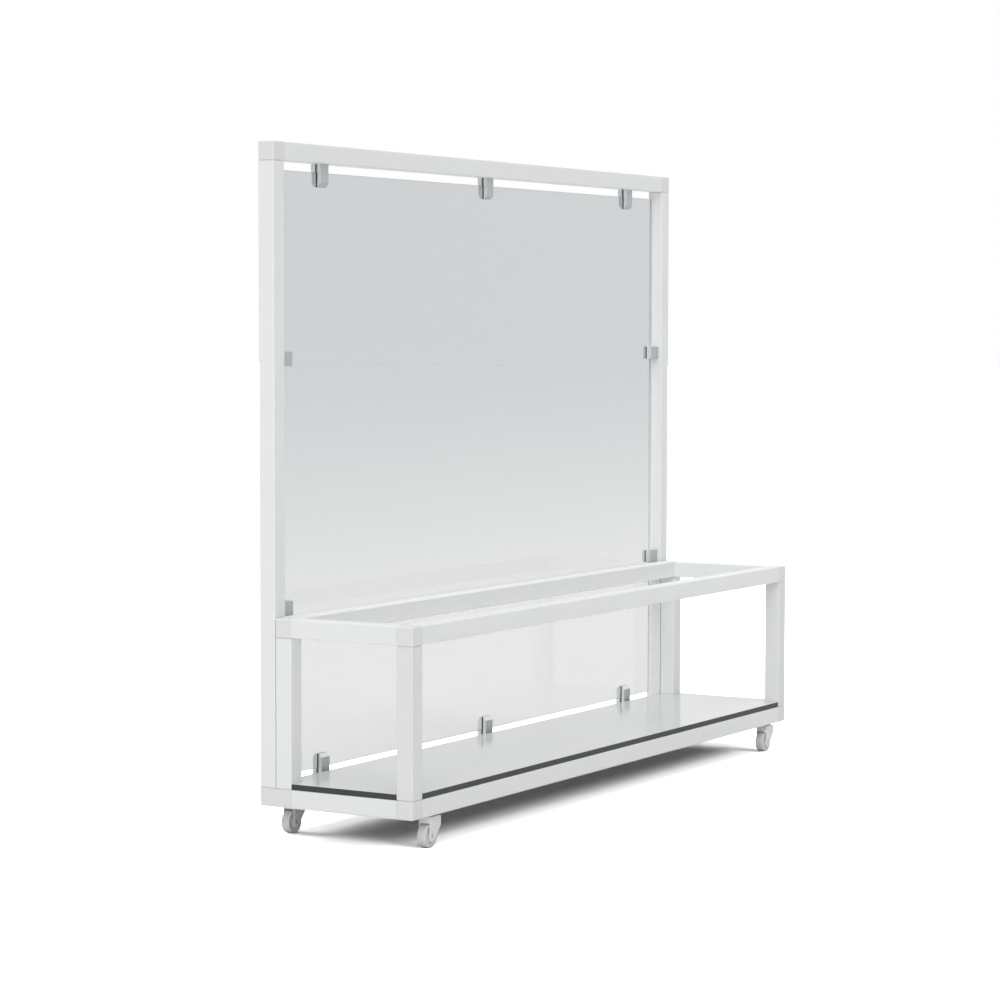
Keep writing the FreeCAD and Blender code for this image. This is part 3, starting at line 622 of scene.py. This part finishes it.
def wheel_piece(castor):
    """Wheel centre: a hub and a rim joined by a web with ribs.

    The outline (y, r) runs round hub, web and rim. Between the bore and the rim's face the height |y| is at
    least web + (rib - web) s(a), where s is the smooth step of (cos(ribs a) - edge) / slope.
    """
    low, high = (np.array(corner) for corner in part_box("castor_wheel_" + castor))
    hub = (high[1] - low[1]) / 2
    side = [(hub, BORE_RADIUS), (hub, HUB_RADIUS), (WEB_HALF, WEB_INNER_RADIUS),
            (WEB_HALF, WEB_OUTER_RADIUS), (RIM_HALF, RIM_INNER_RADIUS), (RIM_HALF, RIM_RADIUS)]
    corners = [(-y, radius) for y, radius in side] + side[::-1]
    y, radius = closed_outline(corners, WHEEL_ROUNDING, WHEEL_POINTS)
    angle = np.linspace(0.0, 2.0 * np.pi, WHEEL_TURNS, endpoint=False)[:, None]
    near = np.clip((np.cos(WHEEL_RIBS * angle) - RIB_EDGE) / RIB_SLOPE, 0.0, 1.0)
    step = near ** 2 * (3.0 - 2.0 * near)
    rib = WEB_HALF + (RIB_HALF - WEB_HALF) * step
    ribbed = (radius > RIB_INNER_RADIUS) & (radius < RIB_OUTER_RADIUS)
    y = np.sign(y) * np.where(ribbed, np.maximum(np.abs(y), rib), np.abs(y))
    return ring_about_y("wheel_" + castor, y, radius[None, :], WHEEL_TURNS, (low + high) / 2)


def fit_piece(piece, node, body, material):
    """Puts a fine piece in a node's place, on the node's body and with its finish."""
    piece.data.materials.append(material)
    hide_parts(node)
    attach(piece, body)


def grid_mesh(name, points, wrap_rows, wrap_columns):
    """Mesh of quads over a grid of points. Each direction can close on itself."""
    rows, columns = points.shape[:2]
    row = np.arange(rows if wrap_rows else rows - 1)[:, None]
    column = np.arange(columns if wrap_columns else columns - 1)[None, :]
    next_row = (row + 1) % rows
    next_column = (column + 1) % columns
    quads = np.stack([
        row * columns + column, next_row * columns + column,
        next_row * columns + next_column, row * columns + next_column], axis=-1).reshape(-1, 4)
    mesh = bpy.data.meshes.new(name)
    mesh.from_pydata(points.reshape(-1, 3).tolist(), [], quads.tolist())
    mesh.polygons.foreach_set("use_smooth", np.ones(len(mesh.polygons), dtype=bool))
    mesh.update()
    piece = bpy.data.objects.new(name, mesh)
    bpy.context.scene.collection.objects.link(piece)
    return piece


# Operators

class PARTITION_OT_coat_tubes(bpy.types.Operator):
    """Powder coat the rails, posts and the shelf's angle"""
    bl_idname = "partition.coat_tubes"
    bl_label = "Coat tubes"

    def execute(self, context):
        finish = context.scene.partition_finishes
        material = coat_material(
            "tube_coat", finish.coat_color, finish.coat_roughness, ripple_scale=700.0,
            ripple_depth=0.12 * MILLIMETRE)
        for node in NODES:
            if "_rail_" in node or "_post_" in node or node == "shelf_rear_angle":
                dress(node, material)
        return {"FINISHED"}


class PARTITION_OT_coat_blocks(bpy.types.Operator):
    """Powder coat the corner blocks in their own darker shade, and the planter's front posts in the same coat
    as painted shade
    """
    bl_idname = "partition.coat_blocks"
    bl_label = "Coat corner blocks"

    def execute(self, context):
        finish = context.scene.partition_finishes
        material = coat_material(
            "block_coat", finish.block_and_shaded_post_color, finish.coat_roughness, ripple_scale=500.0,
            ripple_depth=0.18 * MILLIMETRE)
        for node in NODES:
            # The front posts take the blocks' darker coat as painted shade
            if "_corner_" in node or node.startswith("planter_post_front"):
                dress(node, material)
        return {"FINISHED"}


class PARTITION_OT_finish_shelf(bpy.types.Operator):
    """Give the shelf its pale faces and its dark sawn core"""
    bl_idname = "partition.finish_shelf"
    bl_label = "Finish shelf"

    def execute(self, context):
        finish = context.scene.partition_finishes
        dress("shelf_faces", laminate_material("shelf_face", finish.shelf_color))
        dress("shelf_core", core_material("shelf_core", finish.core_color))
        return {"FINISHED"}


class PARTITION_OT_finish_pane(bpy.types.Operator):
    """Give the pane its grey tint and the painted shade that darkens it towards the top"""
    bl_idname = "partition.finish_pane"
    bl_label = "Finish pane"

    def execute(self, context):
        dress("pane", pane_material("pane_tint_and_painted_shade", context.scene.partition_finishes))
        NODES["pane"].visible_shadow = False
        return {"FINISHED"}


class PARTITION_OT_finish_clamps(bpy.types.Operator):
    """Plate the clamps, and give them their gaskets and screws"""
    bl_idname = "partition.finish_clamps"
    bl_label = "Finish clamps"

    def execute(self, context):
        finish = context.scene.partition_finishes
        casting = casting_material("clamp_metal", finish.clamp_color, finish.clamp_painted_highlight_color)
        for node in NODES:
            if node.startswith("clamp_") and node not in ("clamp_gaskets", "clamp_screws"):
                dress(node, casting)
        dress("clamp_gaskets", rubber_material("clamp_gasket", finish.gasket_color, roughness=0.7))
        dress("clamp_screws", steel_material("clamp_screw_steel", finish.steel_color))
        return {"FINISHED"}


class PARTITION_OT_finish_castors(bpy.types.Operator):
    """Finish the inserts, rings, forks, axles, wheels and tyres of the castors"""
    bl_idname = "partition.finish_castors"
    bl_label = "Finish castors"

    def execute(self, context):
        finish = context.scene.partition_finishes
        steel = steel_material("castor_steel", finish.steel_color)
        fork = coat_material("fork_coat", finish.fork_color, roughness=0.4, ripple_scale=900.0,
                             ripple_depth=0.1 * MILLIMETRE)
        ring = coat_material("ring_plastic", finish.ring_color, roughness=0.5, ripple_scale=900.0,
                             ripple_depth=0.1 * MILLIMETRE)
        wheel = coat_material("wheel_moulding", finish.wheel_color, roughness=0.5, ripple_scale=1400.0,
                              ripple_depth=0.06 * MILLIMETRE)
        tyre = rubber_material("tyre_rubber", finish.tyre_color, roughness=0.6)
        dress("castor_rings", ring)
        dress("castor_inserts", steel)
        dress("castor_stems", steel)
        for castor in CASTORS:
            dress("castor_fork_" + castor, fork)
            dress("castor_axle_" + castor, steel)
            body = "castor_roller_" + castor
            fit_piece(wheel_piece(castor), "castor_wheel_" + castor, body, wheel)
            fit_piece(tyre_piece(castor), "castor_tyre_" + castor, body, tyre)
        return {"FINISHED"}


def look_matrix(stage):
    """The camera's matrix: forward from yaw and pitch, then the roll about the line of sight."""
    cos_pitch = math.cos(stage.camera_pitch)
    forward = Vector((
        cos_pitch * math.cos(stage.camera_yaw), cos_pitch * math.sin(stage.camera_yaw),
        -math.sin(stage.camera_pitch)))
    turn = forward.to_track_quat("-Z", "Y").to_matrix().to_4x4()
    return Matrix.Translation(stage.camera_place) @ turn @ Matrix.Rotation(stage.camera_roll, 4, "Z")


def seen_plainly(tree):
    """1 for rays of the camera, in reflections and through the pane, and 0 for light that falls on things."""
    path = tree.nodes.new("ShaderNodeLightPath")
    shine = maths(tree, "MAXIMUM", path.outputs["Is Glossy Ray"], path.outputs["Is Transmission Ray"])
    return maths(tree, "MAXIMUM", path.outputs["Is Camera Ray"], shine)


class PARTITION_OT_build_stage(bpy.types.Operator):
    """Set up the floor, the light and the camera"""
    bl_idname = "partition.build_stage"
    bl_label = "Build stage"

    def execute(self, context):
        stage = context.scene.partition_stage
        floor = self.build_floor(stage)
        self.build_world(context, stage)
        self.build_lamp(context, "key", stage.key_strength, stage.key_travel, stage.key_spread)
        self.build_lamp(context, "side", stage.side_strength, stage.side_travel, stage.side_spread)
        self.build_floor_lamps(context, stage, floor)
        self.build_camera(context, stage)
        context.scene.view_settings.view_transform = "Standard"
        return {"FINISHED"}

    def build_floor(self, stage):
        """Pale floor. Strong lamps of its own light it, so it is darker for all but the camera."""
        reach = stage.floor_reach
        left = [[-reach, -reach, 0.0], [-reach, reach, 0.0]]
        right = [[reach, -reach, 0.0], [reach, reach, 0.0]]
        floor = grid_mesh("floor", np.array([left, right]), wrap_rows=False, wrap_columns=False)
        material, tree, shader = new_material("floor_white", {"Roughness": 1.0, "Specular IOR Level": 0.0})
        mix = new_node(
            tree, "ShaderNodeMix", {"A": stage.floor_color, "B": stage.floor_seen_color},
            data_type="RGBA")
        path = tree.nodes.new("ShaderNodeLightPath")
        tree.links.new(path.outputs["Is Camera Ray"], mix.inputs["Factor"])
        tree.links.new(mix.outputs["Result"], shader.inputs["Base Color"])
        floor.data.materials.append(material)
        return floor

    def build_world(self, context, stage):
        """Light that grows with height. The camera, reflections and the pane see plain white."""
        world = bpy.data.worlds.new("studio")
        world.use_nodes = True
        context.scene.world = world
        tree = world.node_tree
        background = tree.nodes["Background"]
        background.inputs["Color"].default_value = (1.0, 1.0, 1.0, 1.0)
        top_light = stage.wall_light + stage.ceiling_light
        room = mapped(tree, axes(tree, "Generated")["Z"], low=0.0, high=1.0, to_low=stage.wall_light,
                      to_high=top_light)
        strength = mapped(tree, seen_plainly(tree), low=0.0, high=1.0, to_low=room, to_high=1.0)
        tree.links.new(strength, background.inputs["Strength"])

    def build_lamp(self, context, name, strength, travel, spread):
        """A soft lamp far away: its light travels one way and comes from a wide angle."""
        lamp = bpy.data.lights.new(name, "SUN")
        lamp.energy = strength
        lamp.angle = spread
        light = bpy.data.objects.new(name, lamp)
        light.rotation_mode = "QUATERNION"
        light.rotation_quaternion = Vector(travel).to_track_quat("-Z", "Y")
        context.scene.collection.objects.link(light)
        return light

    def build_floor_lamps(self, context, stage, floor):
        """Low lamps on all sides that light the floor alone and keep it white close to the part."""
        lit = bpy.data.collections.new("lit_by_floor_lamps")
        lit.objects.link(floor)
        flat = math.cos(stage.floor_lamp_rise)
        fall = -math.sin(stage.floor_lamp_rise)
        for turn in range(stage.floor_lamps):
            angle = 2.0 * math.pi * turn / stage.floor_lamps
            travel = (flat * math.cos(angle), flat * math.sin(angle), fall)
            lamp = self.build_lamp(
                context, "floor_lamp_%d" % turn, stage.floor_lamp_strength, travel, stage.floor_lamp_spread)
            lamp.light_linking.receiver_collection = lit

    def build_camera(self, context, stage):
        """The photograph's place, turn and focal length."""
        lens = bpy.data.cameras.new("camera")
        lens.sensor_fit = "HORIZONTAL"
        lens.sensor_width = 36.0
        lens.lens = stage.focal_pixels / stage.picture_pixels * lens.sensor_width
        lens.clip_end = 4.0 * stage.floor_reach
        camera = bpy.data.objects.new("camera", lens)
        camera.matrix_world = look_matrix(stage)
        context.scene.collection.objects.link(camera)
        context.scene.camera = camera


class PARTITION_PT_maker(bpy.types.Panel):
    """Lists the partition's operators and values"""
    bl_label = "Partition"
    bl_idname = "PARTITION_PT_maker"
    bl_space_type = "VIEW_3D"
    bl_region_type = "UI"
    bl_category = "Partition"

    def draw(self, context):
        for operator in OPERATORS:
            self.layout.operator(operator.bl_idname)
        for group in (context.scene.partition_finishes, context.scene.partition_stage):
            box = self.layout.box()
            for name in group.__annotations__:
                box.prop(group, name)


OPERATORS = (
    PARTITION_OT_coat_tubes,
    PARTITION_OT_coat_blocks,
    PARTITION_OT_finish_shelf,
    PARTITION_OT_finish_pane,
    PARTITION_OT_finish_clamps,
    PARTITION_OT_finish_castors,
    PARTITION_OT_build_stage,
)
CLASSES = (PartitionFinishes, PartitionStage, *OPERATORS, PARTITION_PT_maker)


def register():
    """Registers the classes and hangs the value groups on the scene."""
    for cls in CLASSES:
        bpy.utils.register_class(cls)
    bpy.types.Scene.partition_finishes = PointerProperty(type=PartitionFinishes)
    bpy.types.Scene.partition_stage = PointerProperty(type=PartitionStage)


def unregister():
    """Takes the value groups and the classes away again."""
    del bpy.types.Scene.partition_stage
    del bpy.types.Scene.partition_finishes
    for cls in reversed(CLASSES):
        bpy.utils.unregister_class(cls)


def main():
    """Runs every operator in order."""
    register()
    bpy.ops.partition.coat_tubes()
    bpy.ops.partition.coat_blocks()
    bpy.ops.partition.finish_shelf()
    bpy.ops.partition.finish_pane()
    bpy.ops.partition.finish_clamps()
    bpy.ops.partition.finish_castors()
    bpy.ops.partition.build_stage()


if __name__ == "__main__":
    main()
